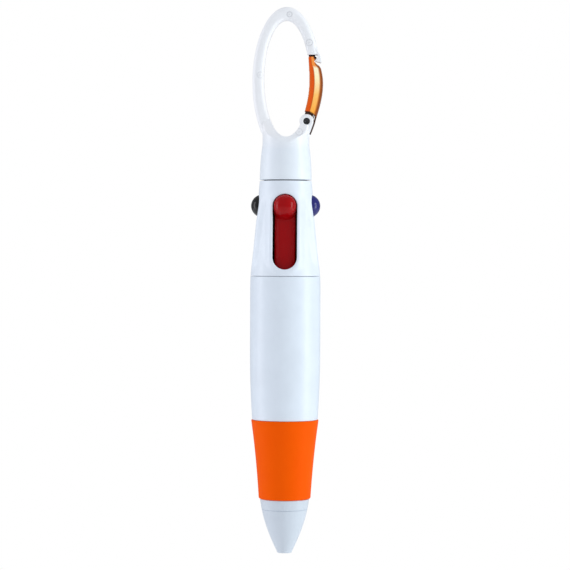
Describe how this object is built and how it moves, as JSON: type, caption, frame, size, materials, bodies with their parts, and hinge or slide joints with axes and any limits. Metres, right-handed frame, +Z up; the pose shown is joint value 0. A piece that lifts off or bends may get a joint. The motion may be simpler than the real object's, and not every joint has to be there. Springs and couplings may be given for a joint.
{
  "type": "multicolor click pen",
  "caption": "Click pen with four coloured sliders, a tapered rubber grip and an oval carabiner loop with a sprung orange gate.",
  "frame": {"origin": "inside crown of the loop, on the pen's axis, where the pen hangs", "axes": "+Z up along the pen from the writing end to the loop, -Y towards the red slider, +X towards the gate"},
  "size_m": [0.0172, 0.0168, 0.1301],
  "materials": {
    "white_plastic": "glossy moulded plastic, cool white",
    "dark_core": "dark moulded plastic",
    "clear_orange": "translucent orange moulded plastic",
    "dark_steel": "dark plated pin",
    "spring_steel": "bright drawn wire",
    "orange_rubber": "smooth soft rubber with a low sheen",
    "brass": "turned and polished",
    "red_plastic": "glossy coloured plastic",
    "red_tube": "extruded ink tube",
    "black_plastic": "glossy coloured plastic",
    "black_tube": "extruded ink tube",
    "blue_plastic": "glossy coloured plastic",
    "blue_tube": "extruded ink tube",
    "green_plastic": "glossy coloured plastic",
    "green_tube": "extruded ink tube"
  },
  "bodies": {
    "upper": {"carabiner_cap": "white_plastic", "gate_pin": "dark_steel", "gate_spring": "spring_steel", "upper_barrel": "white_plastic", "guide_core": "dark_core", "spring_plate": "white_plastic", "spring_red": "spring_steel", "spring_black": "spring_steel", "spring_blue": "spring_steel", "spring_green": "spring_steel"},
    "gate": {"gate": "clear_orange"},
    "lower": {"lower_barrel": "white_plastic", "grip_sleeve": "orange_rubber", "nose_cone": "white_plastic"},
    "slider_red": {"slider_red": "red_plastic", "refill_tube_red": "red_tube"},
    "point_red": {"refill_tip_red": "brass", "writing_ball_red": "spring_steel"},
    "slider_black": {"slider_black": "black_plastic", "refill_tube_black": "black_tube"},
    "point_black": {"refill_tip_black": "brass", "writing_ball_black": "spring_steel"},
    "slider_blue": {"slider_blue": "blue_plastic", "refill_tube_blue": "blue_tube"},
    "point_blue": {"refill_tip_blue": "brass", "writing_ball_blue": "spring_steel"},
    "slider_green": {"slider_green": "green_plastic", "refill_tube_green": "green_tube"},
    "point_green": {"refill_tip_green": "brass", "writing_ball_green": "spring_steel"}
  },
  "joints": [
    {"name": "gate_hinge", "type": "hinge", "parent": "upper", "child": "gate", "pos_m": [0.00495, 0, -0.02395], "axis": [0, -1, 0], "range_deg": [0, 32], "stiffness_Nm_per_rad": 0.004, "springref_deg": -34.38, "deforming": ["gate_spring"]},
    {"name": "barrel_pull", "type": "slide", "parent": "upper", "child": "lower", "axis": [0, 0, -1], "range_m": [0, 0.08]},
    {"name": "slider_red", "type": "slide", "parent": "upper", "child": "slider_red", "axis": [0, 0, -1], "range_m": [0, 0.0095], "stiffness_N_per_m": 120, "springref_m": -0.005, "deforming": ["spring_red", "refill_tube_red"]},
    {"name": "point_red", "type": "slide", "parent": "slider_red", "child": "point_red", "axis": [0, 1, 0], "range_m": [0, 0.00075]},
    {"name": "slider_black", "type": "slide", "parent": "upper", "child": "slider_black", "axis": [0, 0, 1], "range_m": [-0.0095, 0], "stiffness_N_per_m": 120, "springref_m": 0.005, "deforming": ["spring_black", "refill_tube_black"]},
    {"name": "point_black", "type": "slide", "parent": "slider_black", "child": "point_black", "axis": [1, 0, 0], "range_m": [0, 0.00075]},
    {"name": "slider_blue", "type": "slide", "parent": "upper", "child": "slider_blue", "axis": [0, 0, 1], "range_m": [-0.0095, 0], "stiffness_N_per_m": 120, "springref_m": 0.005, "deforming": ["spring_blue", "refill_tube_blue"]},
    {"name": "point_blue", "type": "slide", "parent": "slider_blue", "child": "point_blue", "axis": [-1, 0, 0], "range_m": [0, 0.00075]},
    {"name": "slider_green", "type": "slide", "parent": "upper", "child": "slider_green", "axis": [0, 0, -1], "range_m": [0, 0.0095], "stiffness_N_per_m": 120, "springref_m": -0.005, "deforming": ["spring_green", "refill_tube_green"]},
    {"name": "point_green", "type": "slide", "parent": "slider_green", "child": "point_green", "axis": [0, -1, 0], "range_m": [0, 0.00075]}
  ],
  "couplings": [
    {"joint": "point_red", "follows": "slider_red", "ratio": 0.078947},
    {"joint": "point_black", "follows": "slider_black", "ratio": -0.078947},
    {"joint": "point_blue", "follows": "slider_blue", "ratio": -0.078947},
    {"joint": "point_green", "follows": "slider_green", "ratio": 0.078947}
  ]
}
